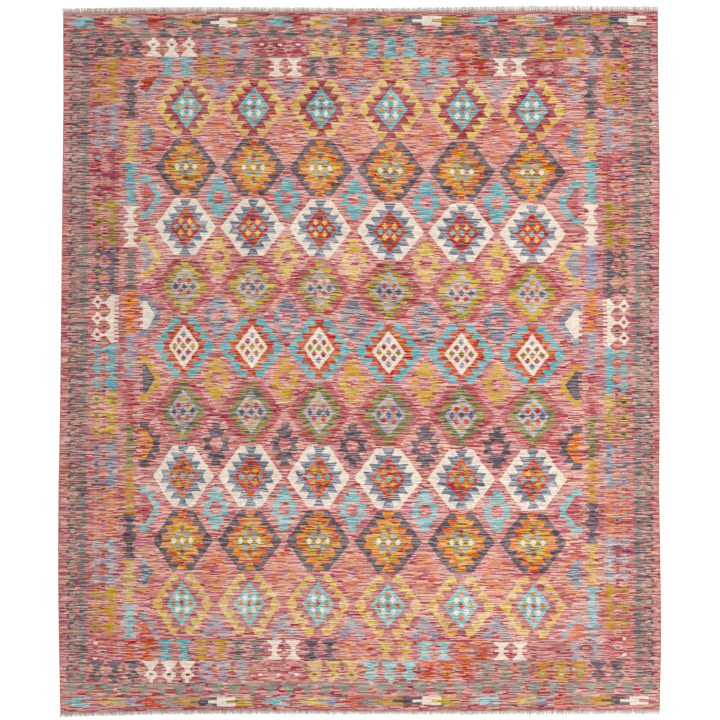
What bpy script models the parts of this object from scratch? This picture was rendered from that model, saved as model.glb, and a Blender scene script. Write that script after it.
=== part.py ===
"""A flat-woven wool rug that lies open on the floor, with a short fringe of warp ends at both ends.

The warp runs along Y and the weft along X. The origin is on the floor, under the middle of the rug.
"""

import math
import random

import bmesh
import bpy
from mathutils import Vector

# Driving dimensions, in metres
CLOTH_THICKNESS = 0.0035
CLOTH_HALF_WIDTH = 1.250
ROUND_EDGE = 0.0008
PART_GAP = 0.0003
STRIP_WIDTH = 0.005
STRIP_HEIGHT = 0.0026
STRIP_SLOPE = 0.0010
LOCK_SHARE = 0.92
LOCK_TIP_SHARE = 0.78
LOCK_TIP_HEIGHT = 0.0014
LOCK_LEAN = 0.0012
LOCK_LENGTH_SPREAD = 0.0014
CORNER_SPLAY = 0.006
CORNER_SPLAY_REACH = 0.05

LOCKS_PER_END = 150
SIDE_STEPS = 36
END_STEPS = 30
SEED = 11

# The two long sides: how far each stands from the warp line through the middle, seen along the rug
SIDES = (
    # along, left, right
    (-1.464, -1.252, 1.252),
    (-1.141, -1.258, 1.258),
    (-0.853, -1.261, 1.255),
    (-0.518, -1.259, 1.250),
    (-0.268, -1.254, 1.252),
    (0.163, -1.249, 1.249),
    (0.820, -1.242, 1.252),
    (1.080, -1.239, 1.247),
    (1.458, -1.240, 1.244),
)

# The two woven ends, and the length of the fringe there, seen across the rug
ENDS = (
    # across, bottom, top, bottom fringe, top fringe
    (-1.250, -1.471, 1.454, 0.017, 0.022),
    (-0.700, -1.457, 1.458, 0.021, 0.024),
    (0.100, -1.461, 1.459, 0.017, 0.019),
    (0.750, -1.458, 1.461, 0.021, 0.026),
    (1.250, -1.457, 1.462, 0.020, 0.023),
)
LEFT, RIGHT = 1, 2
BOTTOM, TOP, BOTTOM_FRINGE, TOP_FRINGE = 1, 2, 3, 4

MATERIALS = {
    # name: (colour, roughness)
    "wool_cloth": ((0.50, 0.24, 0.22, 1.0), 0.92),
    "warp_yarn": ((0.46, 0.40, 0.36, 1.0), 0.95),
}


def slope_at(table, column, row):
    """The slope of a smooth curve where it passes one row of a table."""
    before = table[max(row - 1, 0)]
    after = table[min(row + 1, len(table) - 1)]
    return (after[column] - before[column]) / (after[0] - before[0])


def smooth_value(table, column, at):
    """A smooth curve through one column of a table, held level past the table's two ends."""
    if at <= table[0][0]:
        return table[0][column]
    for row in range(len(table) - 1):
        low, high = table[row], table[row + 1]
        if at <= high[0]:
            span = high[0] - low[0]
            share = (at - low[0]) / span
            eased = share * share * (3 - 2 * share)
            leaving = slope_at(table, column, row) * span * share * (1 - share) ** 2
            arriving = slope_at(table, column, row + 1) * span * share * share * (share - 1)
            return low[column] + eased * (high[column] - low[column]) + leaving + arriving
    return table[-1][column]


def side_x(side, y):
    return smooth_value(SIDES, side, y)


def end_y(end, x):
    return smooth_value(ENDS, end, x)


def fringe_length(fringe_column, x):
    return smooth_value(ENDS, fringe_column, x)


def corner(side, end):
    """Where a long side meets a woven end."""
    x = math.copysign(CLOTH_HALF_WIDTH, side_x(side, 0))
    for _ in range(4):
        y = end_y(end, x)
        x = side_x(side, y)
    return x, y


def cloth_outline():
    """The cloth's outline, anticlockwise from above, from the bottom left corner."""
    points = []
    for start, finish, end in (
        (corner(LEFT, BOTTOM), corner(RIGHT, BOTTOM), BOTTOM),
        (corner(RIGHT, TOP), corner(LEFT, TOP), TOP),
    ):
        for step in range(END_STEPS + 1):
            x = start[0] + (finish[0] - start[0]) * step / END_STEPS
            points.append((x, end_y(end, x)))
        side = RIGHT if end == BOTTOM else LEFT
        goal = corner(side, TOP if side == RIGHT else BOTTOM)
        for step in range(1, SIDE_STEPS):
            y = finish[1] + (goal[1] - finish[1]) * step / SIDE_STEPS
            points.append((side_x(side, y), y))
    return [Vector((x, y, 0.0)) for x, y in points]


def drawn_in(outline, inset):
    """The outline moved inwards by the same distance all round."""
    moved = []
    for index, point in enumerate(outline):
        before = (point - outline[index - 1]).normalized()
        after = (outline[(index + 1) % len(outline)] - point).normalized()
        inward = Vector((-before.y - after.y, before.x + after.x, 0.0))
        moved.append(point + inward * inset / (1 + before.dot(after)))
    return moved


def new_object(name, mesh_data, material_name):
    bmesh.ops.recalc_face_normals(mesh_data, faces=mesh_data.faces)
    mesh = bpy.data.meshes.new(name)
    mesh_data.to_mesh(mesh)
    mesh_data.free()
    mesh.materials.append(bpy.data.materials[material_name])
    piece = bpy.data.objects.new(name, mesh)
    bpy.context.collection.objects.link(piece)
    return piece


def make_materials():
    for name, (colour, roughness) in MATERIALS.items():
        material = bpy.data.materials.new(name)
        material.use_nodes = True
        shader = material.node_tree.nodes["Principled BSDF"]
        shader.inputs["Base Color"].default_value = colour
        shader.inputs["Roughness"].default_value = roughness
        shader.inputs["Metallic"].default_value = 0.0


def make_cloth():
    """One slab with the outline of the real cloth, and rounded edges."""
    outline = cloth_outline()
    drawn = drawn_in(outline, ROUND_EDGE)
    layers = (
        (drawn, 0.0),
        (outline, ROUND_EDGE),
        (outline, CLOTH_THICKNESS - ROUND_EDGE),
        (drawn, CLOTH_THICKNESS),
    )
    shape = bmesh.new()
    rings = []
    for points, height in layers:
        rings.append([shape.verts.new((p.x, p.y, height)) for p in points])
    for lower, upper in zip(rings, rings[1:]):
        for index in range(len(lower)):
            following = (index + 1) % len(lower)
            shape.faces.new((lower[index], lower[following], upper[following], upper[index]))
    shape.faces.new(list(reversed(rings[0])))
    shape.faces.new(rings[-1])
    return new_object("woven_cloth", shape, "wool_cloth")


def lock_splay(x, first_x, last_x):
    """How far a lock leans outwards: only those near the two corners do."""
    nearest = min(x - first_x, last_x - x)
    share = max(0.0, 1.0 - nearest / CORNER_SPLAY_REACH)
    return math.copysign(CORNER_SPLAY * share * share, x)


def make_fringe(name, end, fringe_column, outward):
    """A strip that lies along the woven end, with the locks of warp yarn that grow out of it."""
    dice = random.Random(SEED + end)
    first_x = corner(LEFT, end)[0]
    last_x = corner(RIGHT, end)[0]
    pitch = (last_x - first_x) / LOCKS_PER_END
    shape = bmesh.new()

    def strip_point(x, out, height):
        return shape.verts.new((x, end_y(end, x) + outward * out, height))

    inner, roots = [], []
    for index in range(LOCKS_PER_END + 1):
        x = first_x + index * pitch
        inner.append([strip_point(x, PART_GAP, 0.0), strip_point(x, PART_GAP, STRIP_HEIGHT)])
    for index in range(LOCKS_PER_END):
        middle = first_x + (index + 0.5) * pitch
        half = pitch * LOCK_SHARE / 2
        out = PART_GAP + STRIP_WIDTH
        roots.append(
            [
                strip_point(middle - half, out, 0.0),
                strip_point(middle + half, out, 0.0),
                strip_point(middle + half - STRIP_SLOPE, out, STRIP_HEIGHT),
                strip_point(middle - half + STRIP_SLOPE, out, STRIP_HEIGHT),
            ]
        )
        length = fringe_length(fringe_column, middle) - STRIP_WIDTH
        length += dice.uniform(-LOCK_LENGTH_SPREAD, LOCK_LENGTH_SPREAD)
        lean = dice.uniform(-LOCK_LEAN, LOCK_LEAN) + lock_splay(middle, first_x, last_x)
        add_lock(shape, roots[-1], middle + lean, half * LOCK_TIP_SHARE, outward * length)
    add_strip(shape, inner, roots)
    return new_object(name, shape, "warp_yarn")


def add_lock(shape, root, tip_x, half, reach):
    """One four-sided lock, wide and flat, from its root in the strip to its cut end."""
    tip_y = root[0].co.y + reach
    tip = [
        shape.verts.new((tip_x - half, tip_y, 0.0)),
        shape.verts.new((tip_x + half, tip_y, 0.0)),
        shape.verts.new((tip_x + half - STRIP_SLOPE, tip_y, LOCK_TIP_HEIGHT)),
        shape.verts.new((tip_x - half + STRIP_SLOPE, tip_y, LOCK_TIP_HEIGHT)),
    ]
    for index in range(4):
        following = (index + 1) % 4
        shape.faces.new((root[index], root[following], tip[following], tip[index]))
    shape.faces.new(tip)


def add_strip(shape, inner, roots):
    """The strip's own faces: its two ends, its underside and top, and its walls between the locks."""
    for index, root in enumerate(roots):
        left, right = inner[index], inner[index + 1]
        shape.faces.new((left[0], right[0], right[1], left[1]))
        under = [left[0], root[0], root[1]]
        over = [left[1], root[3], root[2]]
        if index + 1 < len(roots):
            following = roots[index + 1]
            under.append(following[0])
            over.append(following[3])
            shape.faces.new((root[1], following[0], following[3], root[2]))
        shape.faces.new(under + [right[0]])
        shape.faces.new(over + [right[1]])
    shape.faces.new((inner[0][0], inner[0][1], roots[0][3], roots[0][0]))
    shape.faces.new((inner[-1][0], inner[-1][1], roots[-1][2], roots[-1][1]))


def centre_on_floor(pieces):
    """Puts the origin under the middle of the box that holds all the pieces."""
    corners = [vertex.co for piece in pieces for vertex in piece.data.vertices]
    middle_x = (min(c.x for c in corners) + max(c.x for c in corners)) / 2
    middle_y = (min(c.y for c in corners) + max(c.y for c in corners)) / 2
    for piece in pieces:
        for vertex in piece.data.vertices:
            vertex.co.x -= middle_x
            vertex.co.y -= middle_y


def main():
    for old in list(bpy.data.objects):
        bpy.data.objects.remove(old, do_unlink=True)
    make_materials()
    centre_on_floor(
        [
            make_cloth(),
            make_fringe("fringe_bottom", BOTTOM, BOTTOM_FRINGE, -1),
            make_fringe("fringe_top", TOP, TOP_FRINGE, 1),
        ]
    )


main()
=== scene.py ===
import math
import random

import bmesh
import bpy
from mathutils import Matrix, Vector, noise


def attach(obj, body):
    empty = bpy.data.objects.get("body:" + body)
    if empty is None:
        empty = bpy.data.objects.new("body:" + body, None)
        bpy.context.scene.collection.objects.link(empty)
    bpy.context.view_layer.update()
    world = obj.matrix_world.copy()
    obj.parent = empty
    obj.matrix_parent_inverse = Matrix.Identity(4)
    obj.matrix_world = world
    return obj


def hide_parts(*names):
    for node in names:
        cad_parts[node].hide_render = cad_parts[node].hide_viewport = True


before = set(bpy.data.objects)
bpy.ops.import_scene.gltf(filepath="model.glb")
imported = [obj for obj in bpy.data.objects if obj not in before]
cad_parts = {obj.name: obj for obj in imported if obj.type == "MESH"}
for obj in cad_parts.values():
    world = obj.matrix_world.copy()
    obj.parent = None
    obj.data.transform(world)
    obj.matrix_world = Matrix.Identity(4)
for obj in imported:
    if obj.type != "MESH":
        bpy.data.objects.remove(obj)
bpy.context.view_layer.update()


def addNode(tree, kind, inputs=(), output=0, **settings):
    # one node with its settings and links: a kind in capitals is what a Math node does, and an input
    # is a socket, a value or None
    if kind.isupper():
        settings["operation"] = kind
    node = tree.nodes.new("ShaderNodeMath" if kind.isupper() else kind)
    for name, value in settings.items():
        setattr(node, name, value)
    numbered = inputs.items() if isinstance(inputs, dict) else enumerate(inputs)
    for place, value in numbered:
        if isinstance(value, bpy.types.NodeSocket):
            tree.links.new(value, node.inputs[place])
        elif value is not None:
            node.inputs[place].default_value = value
    return node.outputs[output] if node.outputs else node


def linear(hexColour):
    # an sRGB hex colour as the linear one that shaders take
    parts = [int(hexColour[i : i + 2], 16) / 255 for i in (0, 2, 4)]
    return [p / 12.92 if p <= 0.04045 else ((p + 0.055) / 1.055) ** 2.4 for p in parts] + [1.0]


def between(rows, at, column=1):
    # a value read between the rows of a short table whose first column rises
    for low, high in zip(rows, rows[1:]):
        if at <= high[0] or high is rows[-1]:
            share = (at - low[0]) / (high[0] - low[0])
            return low[column] + share * (high[column] - low[column])


def addObject(name, data):
    made = bpy.data.objects.new(name, data)
    bpy.context.collection.objects.link(made)
    return made


def emptyMaterial(name):
    material = bpy.data.materials.new(name)
    material.use_nodes = True
    material.node_tree.nodes.clear()
    return material, material.node_tree


# Dyed wool. Hand-spun wool takes the dye unevenly, so every yarn is a dark, a middle and a light shade of its
# colour, laid along the weft in short strands. Wool is matte, with a faint sheen from its loose fibres.
yarns = {
    # dark strands, body, light strands
    "ground": ("9b3e4b", "cc857f", "e9beb0"),
    "borderGround": ("903a46", "c17874", "dfaea2"),
    "cream": ("d6c5b3", "e7d9c8", "efe4d6"),
    "paleYellow": ("bd9440", "dab66e", "ebcc98"),
    "borderYellow": ("b0883c", "d0ac66", "e2c28e"),
    "gold": ("b88838", "cfa14c", "ddb06a"),
    "deepGold": ("a8742a", "c38f40", "d2a05a"),
    "orange": ("a5352a", "d87f44", "ecaa60"),
    "redOrange": ("a01e22", "c64e3a", "e69264"),
    "red": ("981b24", "b9322e", "de7448"),
    "scarlet": ("8f1f22", "b2332c", "cc6650"),
    "rose": ("94323e", "ba5f62", "d79089"),
    "plum": ("882c3a", "aa525c", "c67a76"),
    "mauve": ("98444c", "be7e7c", "daa69b"),
    "coral": ("b85e48", "d68a6e", "e6ac8c"),
    "turquoise": ("529197", "70adb1", "a3c8c8"),
    "paleTurquoise": ("619b9f", "8fbab8", "bbd3cf"),
    "slate": ("555968", "868a96", "bebcbe"),
    "lavender": ("767896", "a69b9f", "cdbcae"),
    "charcoal": ("403842", "6c5e64", "9a8a8a"),
    "olive": ("6d5a30", "ab8b45", "cfa95c"),
    "greyGreen": ("4e4a50", "7f7470", "aa9a8c"),
    "periwinkle": ("6d769f", "9c9cab", "c4bab4"),
    "mustard": ("64563e", "c29f52", "e0bb62"),
    "paleGrey": ("6a6f96", "b4aaa4", "d8cabb"),
    "darkTeal": ("39434d", "56605f", "7d7b77"),
    "palePink": ("a8665f", "ca8d80", "e3b3a2"),
    "crimson": ("8b2c3f", "ab4850", "ca706d"),
    "goldGreen": ("535440", "bca054", "dcbb62"),
    "greenOlive": ("4b503d", "8b8357", "baa970"),
    "stone": ("4c4e56", "888078", "b6a292"),
    "paleStone": ("76726e", "9c9184", "b2a494"),
}
yarnNames = list(yarns)

woolLook = {
    "weftHeight": 3.9,  # mm, two packed wefts drawn as one, because single ones would not show
    "strandLength": 34.0,  # mm along the weft before the shade changes
    "setOff": 0.35,  # how far each weft's shade leans away from the next one's
    "contrast": 1.22,
    "batch": (300.0, 150.0),  # mm, where the weaver went on with another batch of the same dye
    "batchShare": 0.22,
    "patch": (110.0, 42.0),  # mm, where the dye turned out warmer or cooler
    "patchDrift": 0.055,
    "hueDrift": 0.018,
    "fading": 0.24,  # how far one strand is stronger dyed than the next
    "fleckLength": 6.0,
    "fleck": 0.11,  # how far one bit of a strand is lighter than the next
    "rib": 8.4,  # mm, two warps drawn as one for the same reason
    "bump": 0.4,
    "bumpHeight": 0.0012,  # metres
}
# strands start anywhere along their row, and no two have quite the same length
strandChance = {"rowShift": 5.37, "start": 9.0, "swayPace": 2.4, "sway": 0.3}
seeds = {"strand": 0.5, "fleck": 7.5, "jitter": 97.3, "ragged": 17.9, "bare": 23.1, "lift": 4.0}


def yarnCode(name):
    return (yarnNames.index(name) + 0.5) / len(yarnNames)


def pickColour(tree, place, colours):
    # one colour of a list, by a place between 0 and 1
    ramp = addNode(tree, "ShaderNodeValToRGB", (place,)).node
    ramp.color_ramp.interpolation = "CONSTANT"
    stops = ramp.color_ramp.elements
    while len(stops) < len(colours):
        stops.new(1.0)
    for index, (stop, colour) in enumerate(zip(stops, colours)):
        stop.position = index / len(colours)
        stop.color = colour
    return ramp.outputs[0]


def rowNumber(tree, place, size, operation="FLOOR"):
    # the number of the row or repeat of this size that a place is in
    number = addNode(tree, "DIVIDE", (place, size))
    return addNode(tree, operation, (number,))


def streakNoise(tree, across, along, length, height, seed):
    # noise drawn out along the weft, where each row of wefts has its own
    row = rowNumber(tree, along, height)
    row = addNode(tree, "MULTIPLY_ADD", (row, strandChance["rowShift"], seed))
    run = addNode(tree, "DIVIDE", (across, length))
    place = addNode(tree, "ShaderNodeCombineXYZ", (run, row, 0.0))
    streaks = {"Vector": place, "Scale": 1.0, "Detail": 0.0}
    return addNode(tree, "ShaderNodeTexNoise", streaks, noise_dimensions="2D")


def strandNoise(
    tree, across, along, seed=seeds["strand"], length=woolLook["strandLength"], height=woolLook["weftHeight"]
):
    # three random values for each strand, a stretch of one weft with sudden ends
    chance = strandChance
    row = rowNumber(tree, along, height)
    start = addNode(tree, "ShaderNodeTexWhiteNoise", {"W": row}, noise_dimensions="1D")
    run = addNode(tree, "DIVIDE", (across, length))
    run = addNode(tree, "MULTIPLY_ADD", (start, chance["start"], run))
    sway = addNode(tree, "MULTIPLY", (run, chance["swayPace"]))
    sway = addNode(tree, "SINE", (sway,))
    run = addNode(tree, "MULTIPLY_ADD", (sway, chance["sway"], run))
    run = addNode(tree, "FLOOR", (run,))
    place = addNode(tree, "ShaderNodeCombineXYZ", (run, row, seed))
    values = addNode(tree, "ShaderNodeTexWhiteNoise", {"Vector": place}, output=1)
    return list(addNode(tree, "ShaderNodeSeparateXYZ", (values,)).node.outputs)


def patchNoise(tree, weave, size):
    # soft noise whose patches have about this width and height
    scale = (1 / size[0], 1 / size[1], 0.0)
    place = addNode(tree, "ShaderNodeVectorMath", (weave, scale), operation="MULTIPLY")
    return addNode(tree, "ShaderNodeTexNoise", {"Vector": place, "Scale": 1.0}, noise_dimensions="2D")


def makeDyedWool():
    # the group that turns a yarn's code into its uneven colour and the height of its weft
    look = woolLook
    row = look["weftHeight"]
    tree = bpy.data.node_groups.new("dyedWool", "ShaderNodeTree")
    tree.interface.new_socket("Yarn", in_out="INPUT", socket_type="NodeSocketFloat")
    tree.interface.new_socket("Color", in_out="OUTPUT", socket_type="NodeSocketColor")
    tree.interface.new_socket("Height", in_out="OUTPUT", socket_type="NodeSocketFloat")
    yarn = addNode(tree, "NodeGroupInput")
    weave = addNode(tree, "ShaderNodeUVMap", uv_map="weave")
    across, along, _ = addNode(tree, "ShaderNodeSeparateXYZ", (weave,)).node.outputs
    shade, drift, strength = strandNoise(tree, across, along)
    following = addNode(tree, "ADD", (along, row))
    gap = addNode(tree, "SUBTRACT", (shade, strandNoise(tree, across, following)[0]))
    tone = addNode(tree, "MULTIPLY_ADD", (gap, look["setOff"], shade))
    batch = patchNoise(tree, weave, look["batch"])
    batch = addNode(tree, "ShaderNodeMapRange", {0: batch, 1: 0.3, 2: 0.7})
    tone = addNode(tree, "ShaderNodeMix", {0: look["batchShare"], 2: tone, 3: batch}, data_type="FLOAT")
    reach = 0.5 / look["contrast"]
    tone = addNode(tree, "ShaderNodeMapRange", {0: tone, 1: 0.5 - reach, 2: 0.5 + reach})
    colour, body, pale = (
        pickColour(tree, yarn, [linear(code) for code in shades]) for shades in zip(*yarns.values())
    )
    lower = addNode(tree, "MULTIPLY", (tone, 2.0), use_clamp=True)
    upper = addNode(tree, "MULTIPLY_ADD", (tone, 2.0, -1.0), use_clamp=True)
    for share, over in ((lower, body), (upper, pale)):
        colour = addNode(tree, "ShaderNodeMix", {0: share, 6: colour, 7: over}, output=2, data_type="RGBA")

    # the dye's hue and strength also change from strand to strand, and the lightness within one
    fleck = strandNoise(tree, across, along, seeds["fleck"], look["fleckLength"])[0]
    drift, strength, value = (
        addNode(tree, "ShaderNodeMapRange", {0: chance, 3: middle - spread, 4: middle + spread})
        for chance, middle, spread in (
            (drift, 0.5, look["hueDrift"]),
            (strength, 1.0, look["fading"]),
            (fleck, 1.0, look["fleck"]),
        )
    )
    drift = swung(tree, patchNoise(tree, weave, look["patch"]), look["patchDrift"], drift)
    dye = {"Hue": drift, "Saturation": strength, "Value": value, "Color": colour}
    colour = addNode(tree, "ShaderNodeHueSaturation", dye)

    rib = addNode(tree, "MULTIPLY", (across, 2 * math.pi / look["rib"]))
    rib = addNode(tree, "SINE", (rib,))
    ridge = addNode(tree, "PINGPONG", (along, row / 2))
    height = addNode(tree, "MULTIPLY_ADD", (rib, 0.5, ridge))
    height = addNode(tree, "MULTIPLY_ADD", (fleck, 0.5, height))
    addNode(tree, "NodeGroupOutput", (colour, height))
    return tree


def addWoolSurface(tree, colour, height):
    # the shader that every woollen surface ends in
    relief = {"Strength": woolLook["bump"], "Distance": woolLook["bumpHeight"], "Height": height}
    wool = {
        "Base Color": colour,
        "Roughness": 0.92,
        "Specular IOR Level": 0.25,
        "Sheen Weight": 0.12,
        "Sheen Roughness": 0.5,
        "Normal": addNode(tree, "ShaderNodeBump", relief),
    }
    addNode(tree, "ShaderNodeOutputMaterial", (addNode(tree, "ShaderNodeBsdfPrincipled", wool),))


# All charts are in mm. Across a motif runs along the weft, and along it runs up the warp.
handwork = {
    "weft": 4.2,  # mm, the step of a motif's slanting edges
    "jitter": 6.0,  # mm that one row of wefts may stop short of the next
    "jitterLength": 60.0,
    "wobble": (9.0, 6.0, 0.0),  # mm across and along
    "wobbleLength": 60.0,
}


def wovenPlace(tree, mapName):
    # where a point lies in a chart, stepped by the weft and a little uneven as handwork is, and whether
    # it is in the rug's right half and in its upper half
    uneven = handwork
    weave = addNode(tree, "ShaderNodeUVMap", uv_map="weave")
    chart = addNode(tree, "ShaderNodeUVMap", uv_map=mapName)
    waves = {"Vector": weave, "Scale": 1 / uneven["wobbleLength"], "Detail": 1.0}
    wobble = addNode(tree, "ShaderNodeTexNoise", waves, output=1, noise_dimensions="2D")
    wobble = addNode(tree, "ShaderNodeVectorMath", (wobble, (0.5, 0.5, 0.5)), operation="SUBTRACT")
    moved = (wobble, uneven["wobble"], chart)
    chart = addNode(tree, "ShaderNodeVectorMath", moved, operation="MULTIPLY_ADD")
    across, along, _ = addNode(tree, "ShaderNodeSeparateXYZ", (chart,)).node.outputs
    weftAcross, weftAlong, _ = addNode(tree, "ShaderNodeSeparateXYZ", (weave,)).node.outputs
    weft = uneven["weft"]
    jitter = streakNoise(tree, weftAcross, weftAlong, uneven["jitterLength"], weft, seeds["jitter"])
    across = swung(tree, jitter, uneven["jitter"], across)
    along = addNode(tree, "SNAP", (along, weft))
    onRight = addNode(tree, "GREATER_THAN", (weftAcross, 0.0))
    onTop = addNode(tree, "GREATER_THAN", (weftAlong, 0.0))
    return across, along, onRight, onTop


def cells(tree, place, pitch, centre=0.0, group=1):
    # which repeat a point is in, or which group of repeats, and how far it is from that repeat's middle
    fromFirst = addNode(tree, "SUBTRACT", (place, centre))
    number = rowNumber(tree, fromFirst, pitch, "ROUND")
    offset = addNode(tree, "MULTIPLY_ADD", (number, -pitch, fromFirst))
    offset = addNode(tree, "ABSOLUTE", (offset,))
    return (rowNumber(tree, number, group) if group > 1 else number), offset


def patch(tree, *limits):
    # 1 where every value lies between its two limits, or no further from 0 than its one limit
    mask = None
    for value, *ends in limits:
        low, high = ends if len(ends) > 1 else (-ends[0], ends[0])
        inside = addNode(tree, "COMPARE", (value, (low + high) / 2, (high - low) / 2))
        mask = inside if mask is None else combine(tree, "MULTIPLY", mask, inside)
    return mask


def combine(tree, operation, *masks):
    # masks laid over each other: MULTIPLY keeps what all of them cover, MAXIMUM what any of them does
    result = masks[0]
    for mask in masks[1:]:
        result = addNode(tree, operation, (result, mask))
    return result


def swung(tree, chance, swing, value):
    # the value moved by chance, by up to half the swing to either side
    chance = addNode(tree, "SUBTRACT", (chance, 0.5))
    return addNode(tree, "MULTIPLY_ADD", (chance, swing, value))


def distance(tree, value, middle):
    gap = addNode(tree, "SUBTRACT", (value, middle))
    return addNode(tree, "ABSOLUTE", (gap,))


def inOutline(tree, across, along, outline):
    # 1 inside a motif, whose outline gives its half width at each distance from its middle
    reach = outline[-1][0]
    widest = max(width for _, width in outline)
    share = addNode(tree, "DIVIDE", (along, reach))
    curve = addNode(tree, "ShaderNodeFloatCurve", (1.0, share)).node
    curve.mapping.extend = "HORIZONTAL"
    points = curve.mapping.curves[0].points
    while len(points) < len(outline):
        points.new(0.5, 0.5)
    for point, (at, width) in zip(points, outline):
        point.location = (at / reach, width / widest)
        point.handle_type = "VECTOR"
    curve.mapping.update()
    width = addNode(tree, "MULTIPLY", (curve.outputs[0], widest))
    return addNode(tree, "LESS_THAN", (across, width))


def yarnInOrder(tree, number, names):
    # the yarn of a repeat, from a list that starts with repeat 0
    place = addNode(tree, "ADD", (number, 0.5))
    place = addNode(tree, "DIVIDE", (place, len(names)))
    return pickColour(tree, place, [[yarnCode(name)] * 3 + [1.0] for name in names])


def twoOrders(tree, number, order, onOther):
    # the same where the rug's other side or end has a few other yarns, each by its place in the order
    names, others = order
    otherNames = [others.get(place, name) for place, name in enumerate(names)]
    return paint(tree, yarnInOrder(tree, number, names), onOther, yarnInOrder(tree, number, otherNames))


def paint(tree, yarn, mask, over):
    # lays one yarn over another where the mask is 1
    over = yarnCode(over) if isinstance(over, str) else over
    yarn = yarnCode(yarn) if isinstance(yarn, str) else yarn
    return addNode(tree, "ShaderNodeMix", {0: mask, 2: yarn, 3: over}, data_type="FLOAT")


def paintOutline(tree, yarn, across, along, outline, over, *masks):
    # lays a motif over the yarn, where all the masks are 1
    shape = combine(tree, "MULTIPLY", inOutline(tree, across, along, outline), *masks)
    return paint(tree, yarn, shape, over)


# the field: serrated diamonds in rows, with a star in each gap
fieldChart = {
    "columnPitch": 290.0,
    "rowPitch": 260.0,
    "halfWidth": 924.0,
    "firstRow": 1040.0,  # mm above the middle weft
    "firstGap": 1170.0,
    "starReach": 725.0,  # mm from the middle warp
    "columnReach": 870.0,
    # each outline: distance from the middle, half width there
    "frame": ((0, 136), (123, 46), (123.5, 0)),
    "teeth": (
        (0, 87), (28, 101), (28.5, 61), (60, 79), (60.5, 39), (92, 54), (92.5, 12), (121, 25), (121.5, 0)
    ),
    "lozenge": ((0, 68), (83, 5), (87, 4), (87.5, 0)),
    "star": ((0, 46), (28, 60), (28.5, 23), (59.5, 40), (60, 13), (85, 21), (85.5, 0)),
    "starEye": ((0, 28), (28, 15), (28.5, 0)),
    "sidePiece": ((0, 68), (62, 27), (62.5, 0)),
    "sideTeeth": ((0, 86), (30, 96), (30.5, 54), (62, 77), (62.5, 33), (91, 52), (91.5, 0)),
    "sideToothPitch": 30.0,
    "sideToothHalf": 6.0,
    "sideToothDepth": 13.0,
    "dotHalfPitch": (19.5, 24.0),
    "dotReach": 1.2,  # steps of the dots' lattice
    "dot": ((0, 11), (4, 11), (6, 7), (9, 6), (11, 3), (13, 3), (13.5, 0)),
}

# the nine rows of diamonds, from the top: frame, teeth, lozenge, and its dots
diamondRows = (
    # frame, teeth, lozenge, end dots, slanting dots, side dots, middle dot
    ("paleYellow", "plum", "turquoise", "coral", "cream", "orange", "red"),
    ("charcoal", "orange", "mustard", "plum", "periwinkle", "cream", "cream"),
    ("cream", "slate", "red", "charcoal", "paleYellow", "turquoise", "turquoise"),
    ("rose", "goldGreen", "paleGrey", "gold", "redOrange", "charcoal", "charcoal"),
    ("turquoise", "redOrange", "cream", "slate", "plum", "olive", "olive"),
    ("rose", "greenOlive", "paleGrey", "gold", "redOrange", "charcoal", "charcoal"),
    ("cream", "slate", "redOrange", "charcoal", "mustard", "turquoise", "turquoise"),
    ("charcoal", "orange", "mustard", "plum", "periwinkle", "cream", "cream"),
    ("paleYellow", "mauve", "paleTurquoise", "coral", "cream", "orange", "red"),
)

# the ten gaps above, between and below the rows: star, side piece on the left, side piece on the right
gapRows = (
    ("lavender", "scarlet", "coral"),
    ("coral", "slate", "slate"),
    ("turquoise", "rose", "rose"),
    ("paleYellow", "lavender", "lavender"),
    ("slate", "cream", "cream"),
    ("gold", "charcoal", "charcoal"),
    ("charcoal", "orange", "orange"),
    ("paleTurquoise", "rose", "rose"),
    ("coral", "slate", "slate"),
    ("lavender", "redOrange", "coral"),
)


def fieldYarn(tree):
    chart = fieldChart
    across, along, onRight, _ = wovenPlace(tree, "weave")
    _, offAcross = cells(tree, across, chart["columnPitch"], chart["columnPitch"] / 2)
    _, gapAcross = cells(tree, across, chart["columnPitch"])
    down = addNode(tree, "SUBTRACT", (chart["firstRow"], along))
    row, offAlong = cells(tree, down, chart["rowPitch"])
    down = addNode(tree, "SUBTRACT", (chart["firstGap"], along))
    gap, gapAlong = cells(tree, down, chart["rowPitch"])
    starYarn, leftYarn, rightYarn = (yarnInOrder(tree, gap, names) for names in zip(*gapRows))

    star = inOutline(tree, gapAcross, gapAlong, chart["star"])
    eye = inOutline(tree, gapAcross, gapAlong, chart["starEye"])
    star = addNode(tree, "SUBTRACT", (star, eye), use_clamp=True)
    star = combine(tree, "MULTIPLY", star, patch(tree, (across, chart["starReach"])))
    yarn = paint(tree, "ground", star, starYarn)

    fromMiddle = addNode(tree, "ABSOLUTE", (across,))
    inward = addNode(tree, "SUBTRACT", (chart["halfWidth"], fromMiddle))
    inward = addNode(tree, "MAXIMUM", (inward, 0.0))
    yarn = paintOutline(tree, yarn, inward, gapAlong, chart["sideTeeth"], starYarn)
    sidePiece = inOutline(tree, inward, gapAlong, chart["sidePiece"])
    yarn = paint(tree, yarn, sidePiece, "ground")
    _, tooth = cells(tree, gapAlong, chart["sideToothPitch"], chart["sideToothPitch"] / 2)
    solid = patch(tree, (inward, chart["sideToothDepth"], chart["halfWidth"]))
    comb = combine(tree, "MAXIMUM", solid, patch(tree, (tooth, chart["sideToothHalf"])))
    comb = combine(tree, "MULTIPLY", comb, sidePiece)
    yarn = paint(tree, yarn, comb, paint(tree, leftYarn, onRight, rightYarn))

    inColumns = patch(tree, (across, chart["columnReach"]))
    for outline, names in zip(("frame", "teeth", "lozenge"), zip(*diamondRows)):
        over = yarnInOrder(tree, row, names)
        yarn = paintOutline(tree, yarn, offAcross, offAlong, chart[outline], over, inColumns)
    return paintDots(tree, yarn, row, offAcross, offAlong, inColumns)


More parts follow.
